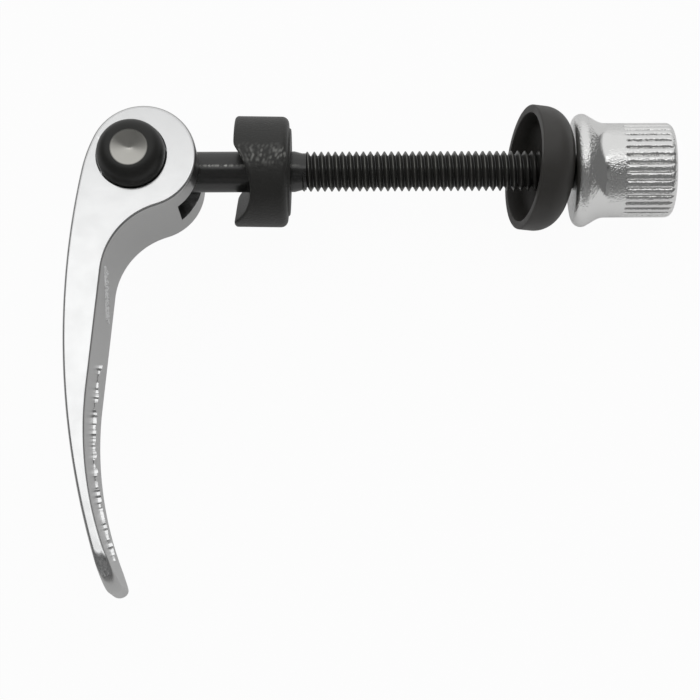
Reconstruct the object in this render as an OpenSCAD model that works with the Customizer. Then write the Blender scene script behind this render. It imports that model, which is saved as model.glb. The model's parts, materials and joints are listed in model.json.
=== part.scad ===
// Quick-release seat binder bolt, in millimetres. A cam lever turns on a cross pin,
// the pin holds a threaded rod, and the rod carries a cam washer, a cup washer and
// a knurled nut. The bolt lies on its side, as it comes to rest on a table.

/* [Lever] */
// Width of the lever across its two cheeks
lever_w = 15.8; // [14:0.1:20]
// Reach of the lever from the pivot axis to its tip
lever_reach = 60.3; // [54:0.1:70]
// Radius of the round cam head
cam_r = 7.5; // [7:0.05:9]
// Distance from the pivot axis to the centre of the cam
cam_throw = 1.53; // [0.8:0.01:2]
// Direction from the pivot axis to the centre of the cam
cam_phase = -10; // [-30:1:10]
// Radius of the long curve down the outer side of the lever
spine_r = 111.5; // [90:1:150]
// How far the outer curve stands behind the pivot axis
spine_out = 8.8; // [8:0.1:10]
// How far below the pivot axis the outer curve stands out most
spine_down = 22.5; // [18:0.5:26]
// Radius of the shoulder between the cam head and the outer curve
shoulder_r = 20.5; // [16:0.5:26]
// Radius of the hollow throat under the cam head
throat_r = 10.5; // [7:0.5:13]
// Direction from the cam's centre to the centre of the throat
throat_angle = -73.2; // [-80:0.1:-68]
// Radius of the inner curve where a finger pulls
belly_r = 50.4; // [40:1:60]
// How far the inner curve stands behind the pivot axis
belly_out = 5.33; // [4.8:0.01:5.8]
// How far below the pivot axis the inner curve stands back most
belly_down = 37.3; // [34:0.1:42]
// Radius of the two corners of the tip, seen on the flat of the lever
tip_corner_r = 5; // [3:0.1:7]
// Width of the slot that lets the rod pass between the cheeks
slot_w = 6.4; // [6.2:0.1:8]
// Swing of the lever from where it lies to fully open
open_swing = 180; // [150:1:190]
// Swing of the lever from where it lies to locked over its centre
lock_swing = 20; // [10:1:24]

/* [Pivot pin] */
// Radius of the cross pin
pin_r = 4.85; // [4.4:0.05:5.2]
// Height of the domed pin end above the cheek
dome_h = 3.2; // [2.2:0.1:3.6]
// Straight stretch of the pin that shows below the dome
dome_collar = 0.6; // [0.1:0.05:0.8]
// Radius of the dish in the domed end
dish_r = 2.65; // [2:0.05:3.2]
// Depth of the dish in the domed end
dish_depth = 0.7; // [0.3:0.05:1.2]

/* [Rod] */
// Radius of the smooth shank
shank_r = 2.9; // [2.7:0.05:3.1]
// Radius of the turned-down neck between shank and thread
neck_r = 2.65; // [2.4:0.05:2.7]
// Radius over the crests of the M6 thread
thread_r = 2.85; // [2.75:0.01:3]
// Distance from the pivot axis to the end of the smooth shank
shank_end = 22.4; // [22:0.1:28]
// Length of the cone from shank to neck
neck_taper = 1.1; // [0.5:0.1:2]
// Distance from the pivot axis to the start of the thread
thread_start = 23.6; // [23.6:0.1:32]
// Distance from one ridge of the thread to the next
thread_pitch = 1; // [0.75:0.05:1.25]
// Depth of the thread's grooves
thread_depth = 0.5; // [0.3:0.05:0.65]
// Width of the flat crest of a ridge
thread_crest = 0.2; // [0.1:0.05:0.3]
// How far the end of the rod stays inside the nut
rod_recess = 1.2; // [0.6:0.1:4]
// Depth of the rod's seat beyond the middle of the pin
rod_seat = 3.3; // [2.5:0.1:4]
// Chamfer on the far end of the rod
rod_chamfer = 0.4; // [0.2:0.1:0.9]

/* [Cam washer] */
// Radius of the cam washer
saddle_r = 7.87; // [7:0.05:9]
// Distance from the pivot axis to the ends of the washer's horns
saddle_start = 13.95; // [13:0.05:15]
// Length of the washer from its horns to its flat back
saddle_len = 7.6; // [6.5:0.1:9]
// Depth of the cam's seat below the horns
groove_depth = 2.45; // [2:0.05:3]
// Turn of the washer about the rod, away from in line with the cam
saddle_turn = 38.5; // [0:0.5:60]
// Lean of the washer on the rod
saddle_lean = 1; // [0:0.1:1.4]
// Radius of the raised pad on the washer's back
pad_r = 6.2; // [5:0.1:6.6]
// Height of the raised pad
pad_h = 0.3; // [0.1:0.1:0.8]
// Rounding of the washer's front corner
saddle_front_round = 0.5; // [0.2:0.1:0.8]
// Rounding of the washer's back corner
saddle_back_round = 1.0; // [0.4:0.1:1.2]

/* [Cup washer] */
// Radius of the cup washer
cup_r = 8.9; // [8.4:0.05:11]
// Thickness of the cup's wall and floor
cup_wall = 1.15; // [0.8:0.05:1.6]
// Depth of the cup from its rim to its back
cup_depth = 5.6; // [5.4:0.1:7]
// Rounding from the side of the cup to its back
cup_round = 3.6; // [2.6:0.1:4]
// Rounding of the outer edge of the cup's rim
rim_round = 0.25; // [0.1:0.05:0.4]
// Tip of the loose cup on the rod, its mouth upwards
cup_tip = 13.7; // [0:0.1:14]
// Lean of the loose cup on the rod, to the side
cup_lean = 2.2; // [0:0.1:4]

/* [Nut] */
// Distance from the pivot axis to the nut's bearing face
nut_start = 61.9; // [60:0.1:70]
// Length of the nut
nut_len = 14.25; // [13:0.1:18]
// Radius of the nut's rounded flange
flange_r = 8.04; // [7.4:0.05:9]
// Rounding of the flange's edge
flange_round = 1.3; // [0.8:0.1:1.6]
// Radius of the nut's body
grip_r = 6.7; // [6.2:0.05:7]
// Distance from the bearing face to where the flange's cone meets the body
cone_len = 4.3; // [3.8:0.1:5.5]
// Distance from the bearing face to the start of the knurl
knurl_start = 6.9; // [6:0.1:8]
// Number of knurl ridges
knurl_count = 35; // [24:1:48]
// Depth of the knurl
knurl_depth = 0.32; // [0.2:0.02:0.4]
// Rounding of the nut's outer end
nut_end_round = 1.1; // [0.6:0.1:1.4]

/* [Fits] */
// Gap all round the pin in the lever
pin_gap = 0.08; // [0.02:0.01:0.1]
// Gap all round the rod in the cam washer
saddle_gap = 0.15; // [0.12:0.01:0.2]
// Gap all round the thread in the cup washer
cup_gap = 0.3; // [0.25:0.01:0.4]
// Gap all round the thread in the nut
nut_gap = 0.05; // [0.03:0.01:0.1]
// Extra radius of the washer's groove over the cam
groove_ease = 0.45; // [0.2:0.05:0.6]
// Gap between the rod and the ends of the lever's slot
slot_gap = 0.2; // [0.1:0.05:0.4]
// Gap between the leaning cup and the nut
cup_nut_gap = 0.05; // [0.03:0.01:0.2]

/* [Hidden] */
$fn = 96;

pin_bore_r = pin_r + pin_gap;
half_w = lever_w / 2;
cam_c = polar(cam_throw, cam_phase);
spine_c = [spine_r - spine_out, -spine_down];
shoulder_c = meet(cam_c, shoulder_r - cam_r, spine_c, spine_r - shoulder_r);
throat_c = cam_c + polar(cam_r + throat_r, throat_angle);
belly_c = [belly_r - belly_out, -belly_down];
flank_lean = acos((belly_r - throat_r) / norm(belly_c - throat_c));
flank_normal = heading(belly_c - throat_c) + flank_lean;
// How far the rounded tip hangs below the ends of the two long curves
tip_drop = 0.55;
// How much further the outer curve runs than the inner one
tip_skew = 0.5;
// Past the limit of its swing, how much further each end of the slot is cut
slot_spare = 4;

groove_r = cam_r + groove_ease;
saddle_back = saddle_start + saddle_len;
seat_x = saddle_back + pad_h;
// The loose cup hangs on the rod by the middle of its floor and leans on the nut
cup_ring_r = cup_r - cup_round;
cup_turn = acos(cos(cup_tip) * cos(cup_lean));
cup_hang = nut_start - cup_nut_gap - cup_round - cup_ring_r * sin(cup_turn)
         + (cup_round - cup_wall / 2) * cos(cup_turn);
rod_end = nut_start + nut_len - rod_recess;
// How far the tools that cut or trim the lever and the washer reach past them
reach_past = lever_reach / 2;

// The bolt rests on three points: the dish rim of the pin's lower end, the nut's
// flange and the lower side of the lever's tip. Their plane is the table.
dish_rest = concat(polar(dish_r, -60), [-half_w - dome_h]);
nut_rest = [nut_start + flange_round, 0, -flange_r];
tip_rest_y = lever_reach - tip_corner_r;
tip_rest = [belly_c.x - sqrt(pow(belly_r, 2) - pow(tip_rest_y + belly_c.y, 2)),
            -tip_rest_y, -half_w];
table_n = cross(tip_rest - dish_rest, nut_rest - dish_rest);
table_dir = table_n / norm(table_n);
rest_roll = atan(table_dir.y / table_dir.z);
rest_pitch = -asin(table_dir.x);

function polar(r, a) = [r * cos(a), r * sin(a)];
function heading(v) = atan2(v.y, v.x);
function arc(c, r, a0, a1, steps) =
    [for (i = [0 : steps]) c + polar(r, a0 + (a1 - a0) * i / steps)];
// The point at distance a from p and b from q, on the right-hand side from p to q
function meet(p, a, q, b) =
    let (d = norm(q - p), turn = acos((a * a + d * d - b * b) / (2 * a * d)))
    p + polar(a, heading(q - p) - turn);

// Everything is drawn with the pivot axis along Z and the rod along X, and is then
// laid down so that the rod passes the origin at the cam washer's back
module laid() {
    rotate([rest_roll, rest_pitch, 0]) translate([-seat_x, 0, 0]) children();
}

// A revolved body along the rod, from [distance along the rod, radius] points
module turned(profile) {
    rotate([0, 90, 0]) rotate_extrude()
        polygon([for (p = profile) [p.y, p.x]]);
}

// Where the curves of the lever's side meet one another
throat_top = cam_c + polar(cam_r, throat_angle);
throat_foot = throat_c + polar(throat_r, flank_normal + 180);
belly_top = belly_c + polar(belly_r, flank_normal + 180);
belly_foot_a = 180 + asin((lever_reach - tip_drop - tip_skew - belly_down) / belly_r);
belly_foot = belly_c + polar(belly_r, belly_foot_a);
spine_foot_a = 180 + asin((lever_reach - tip_drop - spine_down) / spine_r);
spine_foot = spine_c + polar(spine_r, spine_foot_a);
shoulder_a = heading(cam_c - shoulder_c);
spine_top_a = heading(shoulder_c - spine_c);

// The lever's side view: every curve runs smoothly into the next one
module lever_side() {
    translate(cam_c) circle(r = cam_r);
    intersection() {
        translate(shoulder_c) circle(r = shoulder_r);
        polygon([
            cam_c,
            shoulder_c + polar(shoulder_r + 3, shoulder_a),
            spine_c + polar(spine_r + 3, spine_top_a),
            spine_c + polar(spine_r - 6, spine_top_a)]);
    }
    difference() {
        intersection() {
            translate(spine_c) circle(r = spine_r, $fn = 360);
            polygon([
                throat_top,
                cam_c,
                spine_c + polar(spine_r - 6, spine_top_a),
                spine_c + polar(spine_r + 3, spine_top_a),
                spine_foot + [-15, 20],
                spine_foot,
                belly_foot,
                belly_top + polar(8, flank_normal),
                belly_top,
                throat_foot,
                throat_c]);
        }
        translate(belly_c) circle(r = belly_r, $fn = 360);
        translate(throat_c) circle(r = throat_r);
    }
    translate((spine_foot + belly_foot) / 2) circle(r = norm(spine_foot - belly_foot) / 2);
}

// The flat of the lever, seen along the rod, with the tip's two round corners
module lever_flat() {
    corner_z = half_w - tip_corner_r;
    corner_y = tip_corner_r - lever_reach;
    translate([-reach_past, 0, 0]) rotate([90, 0, 90]) linear_extrude(2 * reach_past)
        union() {
            translate([corner_y, -half_w]) square([2 * lever_reach, lever_w]);
            translate([-lever_reach, -corner_z]) square([lever_reach, 2 * corner_z]);
            for (side = [-1, 1]) translate([corner_y, side * corner_z])
                circle(r = tip_corner_r);
        }
}

module lever_blank() {
    intersection() {
        translate([0, 0, -half_w]) linear_extrude(lever_w) lever_side();
        lever_flat();
    }
}

// The slot runs round the head from the rod's locked side, over the top, to its
// open side, and its two end walls lie along the rod at those limits
module lever_slot() {
    lock_a = -lock_swing - slot_spare;
    open_a = open_swing + slot_spare;
    side = shank_r + slot_gap;
    lock_foot = polar(side, lock_a - 90);
    open_foot = polar(side, open_a + 90);
    translate([0, 0, -slot_w / 2]) linear_extrude(slot_w) polygon([
        lock_foot,
        lock_foot + polar(reach_past, lock_a),
        [reach_past, reach_past],
        [-reach_past, reach_past],
        open_foot + polar(reach_past, open_a),
        open_foot]);
}

module lever() {
    color("gainsboro") laid() difference() {
        lever_blank();
        translate([0, 0, -half_w - 1]) cylinder(r = pin_bore_r, h = lever_w + 2);
        lever_slot();
    }
}

// Turned steel cross pin, with a dished dome at each end and a seat for the rod
module pivot_pin() {
    shoulder_z = half_w + dome_collar;
    dome_top = half_w + dome_h;
    dish_ball_r = (pow(dish_r, 2) + pow(dish_depth, 2)) / (2 * dish_depth);
    dish_z = dome_top - dish_depth + dish_ball_r;
    dish_a0 = atan2(dome_top - dish_z, dish_r);
    upper = concat(
        [for (i = [0 : 9]) [dish_r + (pin_r - dish_r) * cos(10 * i),
            shoulder_z + (dome_top - shoulder_z) * sin(10 * i)]],
        [for (i = [1 : 5]) [0, dish_z] + polar(dish_ball_r,
            dish_a0 + (-90 - dish_a0) * i / 5)]);
    lower = [for (i = [len(upper) - 1 : -1 : 0]) [upper[i].x, -upper[i].y]];
    color("dimgray") laid() difference() {
        rotate_extrude() polygon(concat(lower, upper));
        translate([-rod_seat, 0, 0]) rotate([0, 90, 0])
            cylinder(r = shank_r, h = reach_past);
    }
}

// Steel rod: smooth shank in the pin and the cam washer, then a neck and the thread,
// whose ridges stand one pitch apart as plain rings
module rod() {
    root_r = thread_r - thread_depth;
    flank = (thread_pitch - thread_crest) / 2;
    ridges = floor((rod_end - rod_chamfer - thread_start) / thread_pitch);
    color("dimgray") laid() turned(concat(
        [[-rod_seat, 0],
         [-rod_seat, shank_r],
         [shank_end, shank_r],
         [shank_end + neck_taper, neck_r],
         [thread_start, neck_r]],
        [for (i = [0 : ridges - 1], p = [[0, root_r], [flank, thread_r],
                                         [flank + thread_crest, thread_r]])
            [thread_start + i * thread_pitch + p.x, p.y]],
        [[thread_start + ridges * thread_pitch, root_r],
         [rod_end - rod_chamfer, root_r],
         [rod_end, root_r - rod_chamfer],
         [rod_end, 0]]));
}

// Moulded washer with a hollow seat for the cam and a raised pad on its back
module cam_washer() {
    front = saddle_start + saddle_front_round;
    back = saddle_back - saddle_back_round;
    middle = saddle_start + saddle_len / 2;
    bore_r = shank_r + saddle_gap;
    color("darkslategray") laid()
    translate([middle, 0, 0]) rotate([saddle_turn, 0, 0]) rotate([0, 0, -saddle_lean])
    translate([-middle, 0, 0]) difference() {
        turned(concat(
            [[saddle_start, bore_r]],
            arc([front, saddle_r - saddle_front_round], saddle_front_round, 180, 90, 3),
            arc([back, saddle_r - saddle_back_round], saddle_back_round, 90, 0, 4),
            [[saddle_back, pad_r], [seat_x, pad_r], [seat_x, bore_r]]));
        translate([saddle_start + groove_depth - groove_r, 0, -reach_past])
            cylinder(r = groove_r, h = 2 * reach_past);
    }
}

// Moulded cup with a thin side and a rounded back
module cup_washer() {
    inner_r = cup_r - cup_wall;
    inner_round = cup_round - cup_wall;
    corner = cup_depth - cup_round;
    bore_r = thread_r + cup_gap;
    color("darkslategray") laid()
    translate([cup_hang, 0, 0]) rotate([0, cup_tip, -cup_lean])
    translate([cup_wall / 2 - cup_depth, 0, 0]) turned(concat(
        [[0, inner_r]],
        arc([rim_round, cup_r - rim_round], rim_round, 180, 90, 3),
        arc([corner, cup_r - cup_round], cup_round, 90, 0, 6),
        [[cup_depth, bore_r], [cup_depth - cup_wall, bore_r]],
        arc([corner, inner_r - inner_round], inner_round, 0, 90, 5)));
}

// Plated nut: a rounded bearing flange, a hollow cone and a knurled grip
module nut() {
    bore_r = thread_r + nut_gap;
    flare = 0.4;
    end_x = nut_start + nut_len;
    knurl_len = nut_len - nut_end_round - 0.15 - knurl_start;
    groove_side = knurl_depth * sqrt(2);
    flange_c = [nut_start + flange_round, flange_r - flange_round];
    cone_x = nut_start + cone_len;
    body = concat(
        [[nut_start, bore_r + flare]],
        arc(flange_c, flange_round, 180, 62, 7),
        [[cone_x - 1.1, grip_r + 0.42], [cone_x - 0.4, grip_r + 0.11], [cone_x, grip_r]],
        arc([end_x - nut_end_round, grip_r - nut_end_round], nut_end_round, 90, 0, 5),
        [[end_x, bore_r + flare], [end_x - flare, bore_r],
         [nut_start + flare, bore_r]]);
    color("silver") laid() difference() {
        turned(body);
        for (i = [0 : knurl_count - 1]) rotate([(i + 0.5) * 360 / knurl_count, 0, 0])
            translate([nut_start + knurl_start, 0, grip_r]) rotate([45, 0, 0])
                translate([0, -groove_side / 2, -groove_side / 2])
                    cube([knurl_len, groove_side, groove_side]);
    }
}

lever();
pivot_pin();
rod();
cam_washer();
cup_washer();
nut();
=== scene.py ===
import bpy
import bmesh
import json
import math
import random
from mathutils import Matrix, Vector


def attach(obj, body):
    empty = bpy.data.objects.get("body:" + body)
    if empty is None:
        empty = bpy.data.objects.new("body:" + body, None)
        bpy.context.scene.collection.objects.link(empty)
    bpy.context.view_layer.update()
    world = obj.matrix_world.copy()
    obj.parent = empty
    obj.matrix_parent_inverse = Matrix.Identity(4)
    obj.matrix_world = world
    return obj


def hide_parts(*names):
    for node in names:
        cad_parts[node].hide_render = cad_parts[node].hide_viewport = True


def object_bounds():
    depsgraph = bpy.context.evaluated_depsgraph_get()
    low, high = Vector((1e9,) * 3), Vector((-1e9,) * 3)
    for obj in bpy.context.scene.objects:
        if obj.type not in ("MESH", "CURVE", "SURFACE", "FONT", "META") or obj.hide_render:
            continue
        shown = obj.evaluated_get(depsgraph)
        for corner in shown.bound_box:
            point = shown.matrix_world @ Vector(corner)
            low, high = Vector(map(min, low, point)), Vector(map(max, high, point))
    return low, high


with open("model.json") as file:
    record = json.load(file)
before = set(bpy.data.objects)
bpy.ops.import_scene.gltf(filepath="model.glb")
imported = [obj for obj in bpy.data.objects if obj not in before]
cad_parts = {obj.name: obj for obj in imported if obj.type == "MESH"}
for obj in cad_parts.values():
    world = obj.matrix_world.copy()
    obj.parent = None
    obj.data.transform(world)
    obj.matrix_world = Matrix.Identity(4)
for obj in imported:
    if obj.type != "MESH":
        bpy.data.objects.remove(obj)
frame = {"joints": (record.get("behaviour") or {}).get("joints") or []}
cad_low, cad_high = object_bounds()

# Lever
# One cast and tumbled aluminium lever. Its round head is the cam, cut by a slot for the
# rod and bored across for the pin. Its arm thins towards the tip, which a finger pulls.

# The rod's axis and the pivot pin's axis cross at right angles inside the head. All pieces
# are drawn in millimetres along the rod, beside it and across it along the pin.
joints = {joint["name"]: joint for joint in frame["joints"]}
along_rod = Vector(joints["cup_slide"]["axis"]).normalized()
across_pin = -Vector(joints["lever_pivot"]["axis"]).normalized()
beside_rod = across_pin.cross(along_rod)
pivot = Vector(joints["lever_pivot"]["pos_m"])
millimetre = 0.001
lines = Matrix((along_rod, beside_rod, across_pin)).transposed().to_4x4()
bolt = Matrix.Translation(pivot) @ lines @ Matrix.Scale(millimetre, 4)


def add_piece(name, points, faces, place=Matrix.Identity(4)):
    mesh = bpy.data.meshes.new(name)
    mesh.from_pydata([tuple(bolt @ place @ Vector(p)) for p in points], [], faces)
    mesh.update()
    piece = bpy.data.objects.new(name, mesh)
    bpy.context.collection.objects.link(piece)
    return piece


def smooth(piece, sharp_degrees):
    for face in piece.data.polygons:
        face.use_smooth = True
    piece.data.set_sharp_from_angle(angle=math.radians(sharp_degrees))


def apply_modifiers(piece):
    bpy.context.view_layer.update()
    seen = bpy.context.evaluated_depsgraph_get()
    done = bpy.data.meshes.new_from_object(piece.evaluated_get(seen))
    piece.modifiers.clear()
    piece.data = done


weld_gap = 0.000004
sliver_gap = 0.000002


def facing_out(piece):
    """Welds the points that meet, drops slivers and turns every face outwards."""
    rough = bmesh.new()
    rough.from_mesh(piece.data)
    bmesh.ops.remove_doubles(rough, verts=rough.verts, dist=weld_gap)
    bmesh.ops.dissolve_degenerate(rough, edges=rough.edges, dist=sliver_gap)
    bmesh.ops.recalc_face_normals(rough, faces=rough.faces)
    rough.to_mesh(piece.data)
    rough.free()


def polar(r, degrees):
    return Vector((r * math.cos(math.radians(degrees)), r * math.sin(math.radians(degrees))))


def heading(v):
    return math.degrees(math.atan2(v.y, v.x))


def arc(centre, r, start, end, steps):
    turn = (end - start) / steps
    return [Vector(centre) + polar(r, start + turn * i) for i in range(steps + 1)]


lever_w = 15.8
lever_reach = 60.28
cam_r = 7.5
cam_c = polar(1.53, -10)
spine_r = 111.5
spine_c = Vector((spine_r - 8.8, -22.5))
shoulder_r = 20.5
throat_r = 10.5
throat_angle = -73.2
belly_r = 50.4
belly_c = Vector((belly_r - 5.33, -37.3))
tip_corner_r = 5
tip_drop = 0.55
tip_skew = 0.5
pin_bore_r = 4.93
slot_w = 6.4
slot_side = 3.1
slot_lock = -24
slot_open = 184
lever_edge = 0.45
lever_tumbled = 0.25
tumbled_angle = 62
cutter_reach = 30
head_steps = 90
shoulder_steps = 8
spine_steps = 60
tip_steps = 14
belly_steps = 90
throat_steps = 40
bore_steps = 96
corner_turns = [7.5 * i for i in range(10)]
edge_turns = [15 * i for i in range(7)]

between = spine_c - cam_c
near = shoulder_r - cam_r
far = spine_r - shoulder_r
cos_turn = (near ** 2 + between.length ** 2 - far ** 2) / (2 * near * between.length)
shoulder_c = cam_c + polar(near, heading(between) - math.degrees(math.acos(cos_turn)))
throat_c = cam_c + polar(cam_r + throat_r, throat_angle)
flank_gap = belly_c - throat_c
flank_turn = math.degrees(math.acos((belly_r - throat_r) / flank_gap.length))
flank_normal = heading(flank_gap) + flank_turn
shoulder_a = heading(cam_c - shoulder_c)
spine_top_a = heading(shoulder_c - spine_c)


def side_view(inset, reach):
    """The lever seen along the pin, drawn in by inset and ended at reach."""
    foot = reach - tip_drop
    spine_foot_a = 180 + math.degrees(math.asin((foot + spine_c.y) / (spine_r - inset)))
    belly_foot_a = 180 + math.degrees(
        math.asin((foot - tip_skew + belly_c.y) / (belly_r + inset)))
    spine_foot = spine_c + polar(spine_r - inset, spine_foot_a)
    belly_foot = belly_c + polar(belly_r + inset, belly_foot_a)
    middle = (spine_foot + belly_foot) / 2
    across = spine_foot - middle
    along = Vector((-across.y, across.x)).normalized() * (reach + middle.y)
    turns = [math.pi * i / tip_steps for i in range(1, tip_steps)]
    tip = [middle + across * math.cos(turn) + along * math.sin(turn) for turn in turns]
    return (
        arc(cam_c, cam_r - inset, throat_angle, shoulder_a, head_steps)
        + arc(shoulder_c, shoulder_r - inset, shoulder_a, spine_top_a, shoulder_steps)[1:]
        + arc(spine_c, spine_r - inset, spine_top_a, spine_foot_a, spine_steps)[1:]
        + tip
        + arc(belly_c, belly_r + inset, belly_foot_a, flank_normal + 180, belly_steps)
        + arc(throat_c, throat_r + inset, flank_normal + 180, throat_angle + 180,
              throat_steps)[1:-1]
    )


# The casting is built up in layers across the pin, closer together where its edges round
half_w = lever_w / 2
corner_z = half_w - tip_corner_r
edge_z = half_w - lever_edge
rows = {0.0}
rows |= {corner_z + tip_corner_r * math.sin(math.radians(turn)) for turn in corner_turns}
rows |= {edge_z + lever_edge * math.sin(math.radians(turn)) for turn in edge_turns}
rows |= {-z for z in rows}
rows = sorted(z for z in {round(z, 3) for z in rows} if abs(z) <= half_w + 0.001)
lever_points = []
for z in rows:
    up = abs(z)
    rolled_in = math.sqrt(max(0, lever_edge ** 2 - max(0, up - edge_z) ** 2))
    cornered = math.sqrt(max(0, tip_corner_r ** 2 - max(0, up - corner_z) ** 2))
    outline = side_view(lever_edge - rolled_in, lever_reach - tip_corner_r + cornered)
    lever_points += [(p.x, p.y, z) for p in outline]
n = len(outline)
lever_faces = [list(range(n - 1, -1, -1)), list(range(len(lever_points) - n, len(lever_points)))]
for layer in range(len(rows) - 1):
    start = layer * n
    lever_faces += [[start + i, start + (i + 1) % n, start + n + (i + 1) % n, start + n + i]
                    for i in range(n)]
lever = add_piece("lever_casting", lever_points, lever_faces)
facing_out(lever)


def prism(name, outline, low, high):
    n = len(outline)
    points = [(p.x, p.y, z) for z in (low, high) for p in outline]
    faces = [[i, (i + 1) % n, n + (i + 1) % n, n + i] for i in range(n)]
    faces += [list(range(n - 1, -1, -1)), list(range(n, 2 * n))]
    piece = add_piece(name, points, faces)
    facing_out(piece)
    return piece


def cut(piece, tool):
    saw = piece.modifiers.new("saw", "BOOLEAN")
    saw.object = tool
    saw.operation = "DIFFERENCE"
    saw.solver = "EXACT"
    apply_modifiers(piece)
    facing_out(piece)
    bpy.data.objects.remove(tool)


bore_view = arc((0, 0), pin_bore_r, 0, 360, bore_steps)[:-1]
cut(lever, prism("bore_tool", bore_view, -lever_w, lever_w))
lock_foot = polar(slot_side, slot_lock - 90)
open_foot = polar(slot_side, slot_open + 90)
slot_view = [
    lock_foot,
    lock_foot + polar(cutter_reach, slot_lock),
    Vector((cutter_reach, cutter_reach)),
    Vector((-cutter_reach, cutter_reach)),
    open_foot + polar(cutter_reach, slot_open),
    open_foot,
]
cut(lever, prism("slot_tool", slot_view, -slot_w / 2, slot_w / 2))
tumbling = lever.modifiers.new("tumbling", "BEVEL")
tumbling.width = lever_tumbled * millimetre
tumbling.segments = 2
tumbling.limit_method = "ANGLE"
tumbling.angle_limit = math.radians(tumbled_angle)
apply_modifiers(lever)
facing_out(lever)
smooth(lever, 35)
flats = lever.modifiers.new("flats", "WEIGHTED_NORMAL")
flats.keep_sharp = True
apply_modifiers(lever)

# The mould's parting line is left as a thin torn fin down the arm's inner curve. Above it,
# the skin of the casting is torn in a slanting patch.
torn = random.Random(5)
fin_top = -28.2
fin_foot = -55.4
fin_step = 0.16
patch_top = -15.4
patch_foot = -21.6
patch_half_w = 1.7
patch_step = 0.15
patch_columns = 15
skin_sunk = 0.15
throat_top = throat_c.y + throat_r * math.sin(math.radians(flank_normal + 180))
straight_foot = belly_c.y + belly_r * math.sin(math.radians(flank_normal + 180))


def inner_curve(y):
    """The point of the arm's inner curve at this y, and the way straight out of the metal."""
    if y < straight_foot:
        out = Vector((math.sqrt(belly_r ** 2 - (y - belly_c.y) ** 2), belly_c.y - y)) / belly_r
        return belly_c - out * belly_r, out
    if y > throat_top:
        out = Vector((math.sqrt(throat_r ** 2 - (y - throat_c.y) ** 2), throat_c.y - y)) / throat_r
        return throat_c - out * throat_r, out
    out = polar(1, flank_normal)
    below = belly_c - out * belly_r
    above = throat_c - out * throat_r
    return below.lerp(above, (y - below.y) / (above.y - below.y)), out


def raised_skin(name, strips):
    """A scab on the casting from strips of (y, z, height) points. It is sunk a little in."""
    across = len(strips[0])
    under = len(strips) * across
    points = []
    for sunk in (False, True):
        for y, z, height in [p for strip in strips for p in strip]:
            foot, out = inner_curve(y)
            p = foot + out * (-skin_sunk if sunk else height)
            points.append((p.x, p.y, z))
    faces = []
    for i in range(len(strips) - 1):
        for k in range(across - 1):
            here = i * across + k
            quad = [here, here + 1, here + across + 1, here + across]
            faces += [quad, [under + c for c in reversed(quad)]]
    rim = list(range(across)) + [across * i - 1 for i in range(2, len(strips) + 1)]
    rim += [under - 1 - k for k in range(1, across)]
    rim += [across * i for i in range(len(strips) - 2, 0, -1)]
    faces += [[a, b, under + b, under + a] for a, b in zip(rim, rim[1:] + rim[:1])]
    piece = add_piece(name, points, faces)
    facing_out(piece)
    smooth(piece, 20)
    return piece


fin_strips = []
y = fin_top
while y > fin_foot:
    tall = torn.choice((0.08, 0.26, 0.34, 0.42, 0.5))
    edge = torn.uniform(0, 0.2)
    for _ in range(torn.randint(2, 8)):
        height = tall + torn.uniform(-0.05, 0.05)
        edge += torn.uniform(-0.03, 0.03)
        fin_strips.append([(y, edge + 0.08, -0.05), (y, edge, height),
                           (y, edge - 0.12, height * 0.9), (y, -0.35, -0.05)])
        y -= fin_step
parting_fin = raised_skin("parting_fin", fin_strips)
patch_strips = []
for i in range(int((patch_top - patch_foot) / patch_step)):
    y = patch_top - i * patch_step
    middle = 4 - 7 * (patch_top - y) / (patch_top - patch_foot)
    patch_strips.append([
        (y, middle + patch_half_w * (2 * k / (patch_columns - 1) - 1),
         -0.03 if k in (0, patch_columns - 1) else torn.choice((-0.02, 0, 0.04, 0.12, 0.24)))
        for k in range(patch_columns)])
torn_patch = raised_skin("torn_patch", patch_strips)


def finish_of(name, colour, metal, roughness):
    material = bpy.data.materials.new(name)
    material.use_nodes = True
    surface = material.node_tree.nodes["Principled BSDF"]
    surface.inputs["Base Color"].default_value = (*colour, 1)
    surface.inputs["Metallic"].default_value = metal
    surface.inputs["Roughness"].default_value = roughness
    return material, surface


def grain(material, surface, size, depth, detail=4):
    """A fine uneven skin: size is how wide its bumps are, and depth how deep, in millimetres."""
    nodes = material.node_tree.nodes
    links = material.node_tree.links
    place = nodes.new("ShaderNodeTexCoord")
    noise = nodes.new("ShaderNodeTexNoise")
    noise.inputs["Scale"].default_value = 1 / (size * millimetre)
    noise.inputs["Detail"].default_value = detail
    bump = nodes.new("ShaderNodeBump")
    bump.inputs["Distance"].default_value = depth * millimetre
    links.new(place.outputs["Object"], noise.inputs["Vector"])
    links.new(noise.outputs["Fac"], bump.inputs["Height"])
    links.new(bump.outputs["Normal"], surface.inputs["Normal"])
    return bump


def blotches(material, surface, socket, size, low, high):
    """Lets a socket wander between low and high over patches of this size in millimetres."""
    nodes = material.node_tree.nodes
    links = material.node_tree.links
    place = nodes.new("ShaderNodeTexCoord")
    noise = nodes.new("ShaderNodeTexNoise")
    noise.inputs["Scale"].default_value = 1 / (size * millimetre)
    noise.inputs["Detail"].default_value = 3
    span = nodes.new("ShaderNodeMapRange")
    span.inputs["From Min"].default_value = 0.35
    span.inputs["From Max"].default_value = 0.65
    span.inputs["To Min"].default_value = low
    span.inputs["To Max"].default_value = high
    links.new(place.outputs["Object"], noise.inputs["Vector"])
    links.new(noise.outputs["Fac"], span.inputs["Value"])
    links.new(span.outputs["Result"], surface.inputs[socket])


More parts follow.
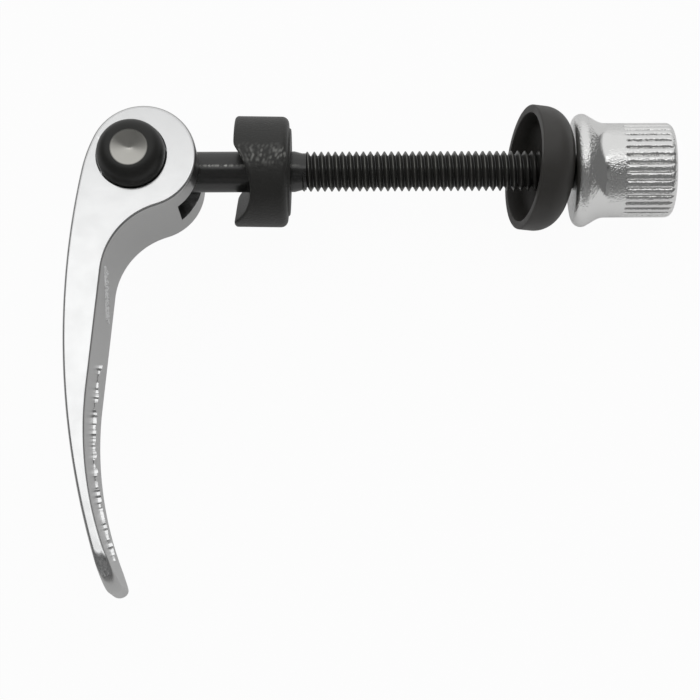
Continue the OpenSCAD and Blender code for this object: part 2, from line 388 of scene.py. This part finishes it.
cast_metal, cast_surface = finish_of("tumbled_aluminium", (0.84, 0.845, 0.845), 1, 0.18)
grain(cast_metal, cast_surface, 1.2, 0.004)
blotches(cast_metal, cast_surface, "Roughness", 3, 0.15, 0.21)
# The edges and the inner curve get a rougher, duller finish. Their darker base colour is painted
# shade for the shadowed table they mirror.
dull_shaded_metal, dull_shaded_surface = finish_of("dull_aluminium_painted_shade", (0.585, 0.585, 0.58), 1, 0.3)
grain(dull_shaded_metal, dull_shaded_surface, 1.2, 0.006)
for piece in (lever, parting_fin, torn_patch):
    piece.data.materials.append(cast_metal)
    piece.data.materials.append(dull_shaded_metal)
    for face in piece.data.polygons:
        polished = piece != lever or abs(face.normal.dot(across_pin)) > 0.8
        face.material_index = 0 if polished else 1
    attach(piece, "lever")
    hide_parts("lever")

# Pivot pin
# A turned steel pin, blackened, that runs across the head from cheek to cheek. Both ends
# stand out as flattened domes with a dish in the middle, and the rod is fixed in its side.
pin_r = 4.79
dome_rise = 3.19
dome_collar = 0.6
dish_r = 2.65
dish_depth = 1.05
dish_tip = 0.5
dome_steps = 22
dish_steps = 12
pin_segments = 96
shoulder_z = half_w + dome_collar
dome_top = half_w + dome_rise


def lathe(name, profile, segments, place=Matrix.Identity(4), pressed=None):
    """Turns (along the axis, radius) points round the X axis. A radius of 0 closes an end."""
    points = []
    rings = []
    for x, r in profile:
        if r < 0.0001:
            rings.append([len(points)] * segments)
            points.append((x, 0, 0))
            continue
        rings.append(list(range(len(points), len(points) + segments)))
        for i in range(segments):
            a = 2 * math.pi * i / segments
            x_here, r_here = pressed(x, r, i) if pressed else (x, r)
            points.append((x_here, r_here * math.sin(a), r_here * math.cos(a)))
    faces = []
    for ring, following in zip(rings, rings[1:]):
        for i in range(segments):
            k = (i + 1) % segments
            corners = [ring[i], ring[k], following[k], following[i]]
            face = [c for j, c in enumerate(corners) if c != corners[j - 1]]
            if len(face) > 2:
                faces.append(face)
    piece = add_piece(name, points, faces, place)
    facing_out(piece)
    return piece


dome = []
for i in range(dome_steps + 1):
    turn = math.pi / 2 * i / dome_steps
    dome.append(Vector((dish_r + (pin_r - dish_r) * math.cos(turn),
                        shoulder_z + (dome_top - shoulder_z) * math.sin(turn))))
dish_slope = math.hypot(dish_r, dish_tip)
dish = []
for i in range(1, dish_steps + 1):
    r = dish_r * (1 - i / dish_steps)
    share = (dish_slope - math.hypot(r, dish_tip)) / (dish_slope - dish_tip)
    dish.append(Vector((r, dome_top - dish_depth * share)))
upper_end = [Vector((pin_r, shoulder_z - 0.5))] + dome + dish
pin_profile = [(-p.y, p.x) for p in reversed(upper_end)] + [(p.y, p.x) for p in upper_end]
stand_up = Matrix.Rotation(math.radians(-90), 4, "Y")
pin = lathe("turned_pin", pin_profile, pin_segments, stand_up)
smooth(pin, 40)


def mark_points(piece, place, share_of):
    """Marks a share at each point for the material to read: bare, rubbed or pitted places, and
    painted highlight on the tops of the washer and the shank.
    """
    back = (bolt @ place).inverted()
    marks = piece.data.color_attributes.new("marked_share", "FLOAT_COLOR", "POINT")
    for point, mark in zip(piece.data.vertices, marks.data):
        share = share_of(back @ point.co)
        mark.color = (share, share, share, 1)


def tint_marked(material, surface, colour, metal, roughness):
    """Gives the marked places their own colour and shine."""
    nodes = material.node_tree.nodes
    links = material.node_tree.links
    marked = nodes.new("ShaderNodeAttribute")
    marked.attribute_name = "marked_share"
    for socket, marked_value in (("Base Color", (*colour, 1)), ("Metallic", metal),
                               ("Roughness", roughness)):
        mix = nodes.new("ShaderNodeMix")
        mix.data_type = "RGBA" if socket == "Base Color" else "FLOAT"
        first, second, out = (6, 7, 2) if socket == "Base Color" else (2, 3, 0)
        mix.inputs[first].default_value = surface.inputs[socket].default_value
        mix.inputs[second].default_value = marked_value
        links.new(marked.outputs["Fac"], mix.inputs[0])
        links.new(mix.outputs[out], surface.inputs[socket])


def in_dish(p):
    return 1 if math.hypot(p.y, p.z) < dish_r - 0.02 and abs(p.x) > half_w else 0


mark_points(pin, stand_up, in_dish)
blackened, black_surface = finish_of("blackened_steel", (0.028, 0.028, 0.026), 0, 0.38)
black_surface.inputs["Specular IOR Level"].default_value = 0.4
tint_marked(blackened, black_surface, (0.62, 0.61, 0.57), 1, 0.3)
grain(blackened, black_surface, 0.5, 0.004)
pin.data.materials.append(blackened)
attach(pin, "rod_and_pin")
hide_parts("pivot_pin")

# Rod
# A blackened steel rod fixed in the pin. Its shank is plain, then it is turned down to a
# short neck, and from there an M6 thread with 1 mm pitch is rolled up to its far end.
rod_seat = 3.3
shank_r = 2.9
neck_r = 2.62
thread_r = 2.85
root_r = 2.24
pitch = 1
shank_end = 22.4
neck_start = 23.5
thread_start = 23.3
rod_end = 75.05
end_chamfer = 0.7
turn_steps = 48
crest_flat = 0.14
root_flat = 0.12
thread_lag = 0.57
run_in_turns = 0.4
shank_segments = 144
shank_steps = 170

shank_profile = [(-rod_seat, 0)]
shank_profile += [(-rod_seat + (shank_end + rod_seat) * i / shank_steps, shank_r)
                  for i in range(shank_steps + 1)]
shank_profile += [(shank_end + 0.1, shank_r - 0.02), (neck_start, neck_r),
                  (thread_start + 0.8, neck_r), (thread_start + 0.8, 0)]
shank = lathe("rod_shank", shank_profile, shank_segments)
smooth(shank, 40)

# The thread is one strip of four lines of points, wound round the rod. It rises over part
# of a turn at its start, and the rod's far end is chamfered.
flank = (1 - crest_flat - root_flat) / 2
tooth = [0, flank, flank + crest_flat, 2 * flank + crest_flat]
tooth_r = [root_r, thread_r, thread_r, root_r]
turns = int((rod_end - thread_start) / pitch) + 2
first = thread_start - thread_lag
thread_points = []
for step in range(turns * turn_steps + 1):
    a = 2 * math.pi * step / turn_steps
    for share, r in zip(tooth, tooth_r):
        x = first + pitch * (step / turn_steps + share)
        x_held = min(max(x, thread_start), rod_end)
        run_in = min(1, max(0, (x - thread_start) / (run_in_turns * pitch)))
        r_here = root_r + (r - root_r) * run_in
        r_here = min(r_here, thread_r - end_chamfer + (rod_end - x_held))
        thread_points.append((x_held, r_here * math.cos(a), r_here * math.sin(a)))
thread_faces = []
last_step = turns * turn_steps
for step in range(last_step):
    for k in range(4):
        here = step * 4 + k
        ahead = here + 4
        if k < 3:
            thread_faces.append([here, ahead, ahead + 1, here + 1])
        elif step + turn_steps < last_step:
            above = (step + turn_steps) * 4
            thread_faces.append([here, ahead, above + 4, above])
thread = add_piece("rolled_thread", thread_points, thread_faces)
facing_out(thread)
smooth(thread, 25)
rod_tip = lathe("rod_tip", [
    (rod_end - 1.5, 0), (rod_end - 1.5, root_r - 0.05), (rod_end - 0.02, root_r - 0.15),
    (rod_end, root_r - 0.25), (rod_end, 0)], 48)
smooth(rod_tip, 40)


def on_crest(p):
    return max(0, min(1, (math.hypot(p.y, p.z) - thread_r + 0.12) / 0.1))


# Pale bare-metal spots along the top line of the shank: scuffs in the oxide, and also a painted
# highlight where the light falls on the top
scuff_and_highlight_half_angle = 5
spot_dice = random.Random(3)
scuff_and_highlight_at = [spot_dice.choice((0, 0.15, 0.3, 0.5, 0.8)) for _ in range(shank_steps + 12)]


def scuffs_and_highlight_on_top(p):
    aside = abs(math.degrees(math.atan2(p.y, p.z)))
    share = scuff_and_highlight_at[int((p.x + rod_seat) / (shank_end + rod_seat) * shank_steps)]
    return max(0, 1 - aside / scuff_and_highlight_half_angle) * share if p.x < thread_start else 0


mark_points(thread, Matrix.Identity(4), on_crest)
mark_points(shank, Matrix.Identity(4), scuffs_and_highlight_on_top)
rolled, rolled_surface = finish_of("blackened_rod", (0.024, 0.024, 0.022), 0, 0.24)
rolled_surface.inputs["Specular IOR Level"].default_value = 0.85
# The pale metal on the marked top line is partly scuffed oxide and partly painted highlight
tint_marked(rolled, rolled_surface, (0.6, 0.6, 0.57), 1, 0.24)
grain(rolled, rolled_surface, 0.7, 0.008)
crested, crested_surface = finish_of("blackened_thread", (0.014, 0.014, 0.012), 0, 0.34)
crested_surface.inputs["Specular IOR Level"].default_value = 0.7
tint_marked(crested, crested_surface, (0.14, 0.14, 0.13), 0.7, 0.3)
grain(crested, crested_surface, 0.5, 0.004)
thread.data.materials.append(crested)
for piece in (shank, rod_tip):
    piece.data.materials.append(rolled)
for piece in (shank, thread, rod_tip):
    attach(piece, "rod_and_pin")
    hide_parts("rod")

# Cam washer
# A moulded black washer between the cam and the seat collar. The cam sits in the hollow
# across its front, and its back has a low raised pad. It hangs a little loose on the rod.
saddle_r = 7.87
saddle_start = 13.95
saddle_back = 21.55
pad_r = 6.2
seat_x = 21.85
saddle_bore = 3.05
groove_r = cam_r + 0.45
groove_depth = 2.45
front_round = 0.5
back_round = 1.0
washer_turn = math.radians(38.5)
washer_lean = math.radians(-1)
saddle_mid = (saddle_start + saddle_back) / 2
washer_place = (
    Matrix.Translation((saddle_mid, 0, 0))
    @ Matrix.Rotation(washer_turn, 4, "X")
    @ Matrix.Rotation(washer_lean, 4, "Z")
    @ Matrix.Translation((-saddle_mid, 0, 0))
)
groove_x = saddle_start + groove_depth - groove_r
crease = 0.22
front_arc = arc((saddle_start + front_round, saddle_r - front_round), front_round, 180, 90, 6)
back_arc = arc((saddle_back - back_round, saddle_r - back_round), back_round, 90, 0, 8)
side_end = saddle_back - back_round
front_steps = 18
side_steps = 20
hole_steps = 5
front_out = saddle_r - front_round
washer_profile = [(seat_x - 0.15, saddle_bore)]
washer_profile += [(seat_x + (saddle_start - seat_x) * i / hole_steps, saddle_bore)
                   for i in range(1, hole_steps)]
washer_profile += [(saddle_start, saddle_bore + (front_out - saddle_bore) * i / front_steps)
                   for i in range(front_steps)]
washer_profile += [tuple(p) for p in front_arc]
washer_profile += [(saddle_start + front_round + (side_end - saddle_start - front_round) * i
                    / side_steps, saddle_r) for i in range(1, side_steps)]
washer_profile += [tuple(p) for p in back_arc]
washer_profile += [(saddle_back, pad_r + 0.25), (saddle_back + 0.05, pad_r + 0.08),
                   (seat_x - 0.08, pad_r), (seat_x, pad_r - 0.1),
                   (seat_x, saddle_bore + 0.15), (seat_x - 0.15, saddle_bore)]
washer_segments = 144
washer_highlight_half_angle = 13


def cam_seat(x, r, i):
    """Presses the cam's hollow across the washer's front, with a soft crease along its edges."""
    beside = r * math.sin(2 * math.pi * i / washer_segments)
    deep = groove_x + math.sqrt(groove_r ** 2 - beside ** 2) - saddle_start
    soft = (deep + math.hypot(deep, crease)) / 2
    share = max(0, min(1, (side_end - x) / (side_end - saddle_start)))
    return x + soft * share, r


washer = lathe("moulded_washer", washer_profile, washer_segments, washer_place, cam_seat)
smooth(washer, 50)


def painted_highlight_spots(p):
    """Painted highlight: small grey spots on the side that lies uppermost, where the light falls.
    """
    aside = abs(math.degrees(math.atan2(p.y, p.z)))
    spot = spot_dice.choice((0, 0, 0, 0.3, 1))
    on_side = math.hypot(p.y, p.z) > saddle_r - 0.4
    return max(0, 1 - aside / washer_highlight_half_angle) * spot if on_side else 0


mark_points(washer, Matrix.Identity(4), painted_highlight_spots)
moulded, moulded_surface = finish_of("moulded_black", (0.041, 0.041, 0.038), 0, 0.44)
# The grey on the marked spots is a painted highlight
tint_marked(moulded, moulded_surface, (0.4, 0.4, 0.38), 0, 0.3)
grain(moulded, moulded_surface, 0.34, 0.09, 2)
washer.data.materials.append(moulded)
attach(washer, "cam_washer")
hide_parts("cam_washer")

# Cup washer
# A moulded cup between the nut and the seat collar. The rim of its mouth presses on the
# collar. Loose on the rod, it hangs tipped, and its rounded back leans against the nut.
cup_r = 8.895
cup_wall = 1.15
cup_depth = 5.6
cup_round = 3.6
rim_round = 0.25
cup_tip = math.radians(13.7)
cup_lean = math.radians(2.2)
cup_bore = 3.15
nut_start = 61.9
cup_segments = 120
inner_r = cup_r - cup_wall
inner_round = cup_round - cup_wall
cup_corner = cup_depth - cup_round
cup_ring_r = cup_r - cup_round
cup_turn = math.acos(math.cos(cup_tip) * math.cos(cup_lean))
cup_hang = (nut_start - 0.05 - cup_round - cup_ring_r * math.sin(cup_turn)
            + (cup_round - cup_wall / 2) * math.cos(cup_turn))
cup_place = (
    Matrix.Translation((cup_hang, 0, 0))
    @ Matrix.Rotation(-cup_lean, 4, "Z")
    @ Matrix.Rotation(cup_tip, 4, "Y")
    @ Matrix.Translation((cup_wall / 2 - cup_depth, 0, 0))
)
cup_profile = [(0.1, inner_r), (0.03, inner_r + 0.03), (0, inner_r + 0.1)]
cup_profile += [tuple(p) for p in arc((rim_round, cup_r - rim_round), rim_round, 180, 90, 6)]
cup_profile += [tuple(p) for p in arc((cup_corner, cup_ring_r), cup_round, 90, 0, 18)]
cup_profile += [(cup_depth, cup_bore + 0.3), (cup_depth - 0.1, cup_bore + 0.08),
                (cup_depth - 0.3, cup_bore), (cup_depth - cup_wall, cup_bore)]
cup_profile += [tuple(p) for p in arc((cup_corner, inner_r - inner_round), inner_round, 0, 90, 12)]
cup_profile += [(0.1, inner_r)]
cup = lathe("moulded_cup", cup_profile, cup_segments, cup_place)
smooth(cup, 50)
cup_black, cup_surface = finish_of("moulded_cup_black", (0.068, 0.065, 0.06), 0, 0.42)
grain(cup_black, cup_surface, 1.5, 0.012)
blotches(cup_black, cup_surface, "Roughness", 4, 0.38, 0.5)
cup.data.materials.append(cup_black)
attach(cup, "cup_washer")
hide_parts("cup_washer")

# Nut
# A steel nut, turned in one piece and nickel plated. Its rounded flange runs through a
# hollow cone into a grip with a straight knurl, and an M6 thread goes right through it.
nut_len = 14.25
flange_r = 8.04
flange_round = 1.3
grip_r = 6.7
cone_len = 4.3
knurl_start = 6.9
knurl_end = 13.35
knurl_count = 35
knurl_depth = 0.3
end_round = 1.1
nut_bore = 2.9
knurl_run_in = 0.35
knurl_run_out = 0.8
ridge_power = 3.4
segments_a_ridge = 12
nut_end = nut_start + nut_len
cone_end = nut_start + cone_len
flange_c = (nut_start + flange_round, flange_r - flange_round)
nut_profile = [(nut_start + 0.4, nut_bore), (nut_start, nut_bore + 0.4)]
nut_profile += [tuple(p) for p in arc(flange_c, flange_round, 180, 62, 16)]
nut_profile += [(cone_end - 1.1, grip_r + 0.42), (cone_end - 0.7, grip_r + 0.22),
                (cone_end - 0.4, grip_r + 0.11), (cone_end, grip_r + 0.02)]
nut_profile += [(cone_end + 0.5, grip_r), (nut_start + knurl_start - 0.15, grip_r)]
knurl_xs = [0, 0.12, 0.3, 0.6]
nut_profile += [(nut_start + knurl_start + x, grip_r) for x in knurl_xs]
nut_profile += [(nut_start + knurl_start + 0.6 + i * (knurl_end - knurl_start - 1.0) / 8, grip_r)
                for i in range(1, 9)]
nut_profile += [tuple(p) for p in
                arc((nut_end - end_round, grip_r - end_round), end_round, 90, 0, 12)]
nut_profile += [(nut_end, nut_bore + 0.4), (nut_end - 0.4, nut_bore), (nut_start + 0.4, nut_bore)]
nut_profile = [p for i, p in enumerate(nut_profile)
               if i == 0 or math.dist(p, nut_profile[i - 1]) > 0.001]

# The knurl is pressed into the grip: a row of straight round-topped ridges
ridge_top = [1 - abs(2 * i / segments_a_ridge - 1) ** ridge_power
             for i in range(segments_a_ridge)]
dice = random.Random(11)
ridge_start = [dice.uniform(-0.12, 0.12) for _ in range(knurl_count)]


def knurled(x, r, i):
    ridge, step = divmod(i, segments_a_ridge)
    from_start = (x - nut_start - knurl_start - ridge_start[ridge]) / knurl_run_in
    from_end = (nut_start + knurl_end + 0.5 - x) / knurl_run_out
    reach = max(0, min(1, from_start, from_end))
    if r < grip_r - 0.6:
        return x, r
    return x, r - knurl_depth * (1 - ridge_top[step]) * reach


nut = lathe("plated_nut", nut_profile, knurl_count * segments_a_ridge, pressed=knurled)
smooth(nut, 32)


def pitted(p):
    """The plating is pitted all over, but the hollow cone is nearly smooth."""
    return 0.12 if flange_c[0] + 0.9 < p.x < cone_end + 0.2 else 1


mark_points(nut, Matrix.Identity(4), pitted)
plated, plated_surface = finish_of("bright_plating", (0.93, 0.93, 0.92), 1, 0.12)
pits = grain(plated, plated_surface, 0.25, 0.08, 1)
pit_marks = plated.node_tree.nodes.new("ShaderNodeAttribute")
pit_marks.attribute_name = "marked_share"
plated.node_tree.links.new(pit_marks.outputs["Fac"], pits.inputs["Strength"])
nut.data.materials.append(plated)
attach(nut, "nut")
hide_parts("nut")

# Table and light
# A white table under one wide soft light, in a room that is bright overhead and behind and
# dim elsewhere. A blotchy dark board on the viewer's side shows only in what is polished.
table_half = 2
centre = (cad_low + cad_high) / 2


def add_sheet(name, points, faces):
    sheet = bpy.data.objects.new(name, bpy.data.meshes.new(name))
    sheet.data.from_pydata(points, [], faces)
    bpy.context.collection.objects.link(sheet)
    return sheet


table = add_sheet("table", [(x, y, cad_low.z - 0.0002) for x, y in (
    (-table_half, -table_half), (table_half, -table_half),
    (table_half, table_half), (-table_half, table_half))], [[0, 1, 2, 3]])
# The camera sees the table as nearly pure white, and polished metal mirrors it part white
seen_share = 0.96
mirrored_share = 0.3
white = bpy.data.materials.new("white_table")
white.use_nodes = True
nodes = white.node_tree.nodes
links = white.node_tree.links
nodes["Principled BSDF"].inputs["Base Color"].default_value = (0.92, 0.92, 0.92, 1)
nodes["Principled BSDF"].inputs["Roughness"].default_value = 0.9
nodes["Principled BSDF"].inputs["Specular IOR Level"].default_value = 0
glow = nodes.new("ShaderNodeEmission")
path = nodes.new("ShaderNodeLightPath")
seen_part = nodes.new("ShaderNodeMath")
seen_part.operation = "MULTIPLY"
seen_part.inputs[1].default_value = seen_share
mix = nodes.new("ShaderNodeMixShader")
mirrored_part = nodes.new("ShaderNodeMath")
mirrored_part.operation = "MULTIPLY_ADD"
mirrored_part.inputs[1].default_value = mirrored_share
links.new(path.outputs["Is Camera Ray"], seen_part.inputs[0])
links.new(path.outputs["Is Glossy Ray"], mirrored_part.inputs[0])
links.new(seen_part.outputs[0], mirrored_part.inputs[2])
links.new(mirrored_part.outputs[0], mix.inputs[0])
links.new(nodes["Principled BSDF"].outputs[0], mix.inputs[1])
links.new(glow.outputs[0], mix.inputs[2])
links.new(mix.outputs[0], nodes["Material Output"].inputs["Surface"])
table.data.materials.append(white)

# The room: bright overhead and behind, as from a big window, and dim on the other sides
world = bpy.data.worlds.new("studio")
world.use_nodes = True
bpy.context.scene.world = world
nodes = world.node_tree.nodes
links = world.node_tree.links
sky_place = nodes.new("ShaderNodeTexCoord")
from_back = nodes.new("ShaderNodeVectorMath")
from_back.operation = "DOT_PRODUCT"
from_back.inputs[1].default_value = (0, 0.7071, 0.7071)
sky = nodes.new("ShaderNodeValToRGB")
sky.color_ramp.interpolation = "EASE"
sky.color_ramp.elements[0].position = 0.55
sky.color_ramp.elements[0].color = (0.14, 0.14, 0.14, 1)
sky.color_ramp.elements[1].position = 0.74
sky.color_ramp.elements[1].color = (0.73, 0.73, 0.73, 1)
links.new(sky_place.outputs["Generated"], from_back.inputs[0])
links.new(from_back.outputs["Value"], sky.inputs[0])
links.new(sky.outputs[0], nodes["Background"].inputs["Color"])
nodes["Background"].inputs["Strength"].default_value = 1


def towards(azimuth, elevation):
    a = math.radians(azimuth)
    e = math.radians(elevation)
    return Vector((math.sin(a) * math.cos(e), -math.cos(a) * math.cos(e), math.sin(e)))


# One wide, shallow light hangs a little behind the point straight above the bolt
light_away = 2.5
light_brightness = 0.44
lamp = bpy.data.lights.new("overhead_light", "AREA")
lamp.shape = "RECTANGLE"
lamp.size = 4.3
lamp.size_y = 0.62
lamp.energy = light_brightness * math.pi * lamp.size * lamp.size_y
light = bpy.data.objects.new("overhead_light", lamp)
to_light = towards(180, 81.6)
light.location = centre + to_light * light_away
light.rotation_euler = to_light.to_track_quat("Z", "Y").to_euler()
bpy.context.collection.objects.link(light)

# The board bends up from the table's front edge to just before the light
board_near = 4
board_far = 88
board_half = 1.4
board_away = 2.45
board_steps = 12
board_points = []
for i in range(board_steps + 1):
    away = towards(0, board_near + (board_far - board_near) * i / board_steps) * board_away
    board_points += [tuple(centre + away + Vector((side * board_half, 0, 0))) for side in (-1, 1)]
board = add_sheet("dark_board", board_points, [
    [2 * i, 2 * i + 1, 2 * i + 3, 2 * i + 2] for i in range(board_steps)])
dark, dark_surface = finish_of("dark_board", (0.42, 0.42, 0.42), 0, 1)
blotches(dark, dark_surface, "Base Color", 260, 0.1, 0.95)
dark_surface.inputs["Specular IOR Level"].default_value = 0
board.data.materials.append(dark)
board.visible_camera = False
board.visible_diffuse = False
board.visible_shadow = False

# The camera looks down on the bolt and a little along the pin
focal_mm = 95.4
camera_mm = 265
pin_lean = 13.0
rod_lean = -0.35
camera_roll = 0.126
aim_x = -30.306
aim_y = 25.37
tilt = Matrix.Rotation(-math.radians(pin_lean), 3, "X")
swing = Matrix.Rotation(math.radians(rod_lean), 3, "Y")
roll = Matrix.Rotation(math.radians(camera_roll), 3, "Z")
looking = (roll @ tilt @ swing).transposed()
camera_data = bpy.data.cameras.new("camera")
camera_data.lens = focal_mm
camera_data.sensor_width = 36
camera_data.clip_start = 0.01
camera_data.clip_end = 10
camera = bpy.data.objects.new("camera", camera_data)
stand = bolt @ (looking @ Vector((-aim_x, -aim_y, camera_mm)))
camera.matrix_world = Matrix.Translation(stand) @ (lines.to_3x3() @ looking).to_4x4()
bpy.context.collection.objects.link(camera)
bpy.context.scene.camera = camera
bpy.context.scene.view_settings.view_transform = "Standard"
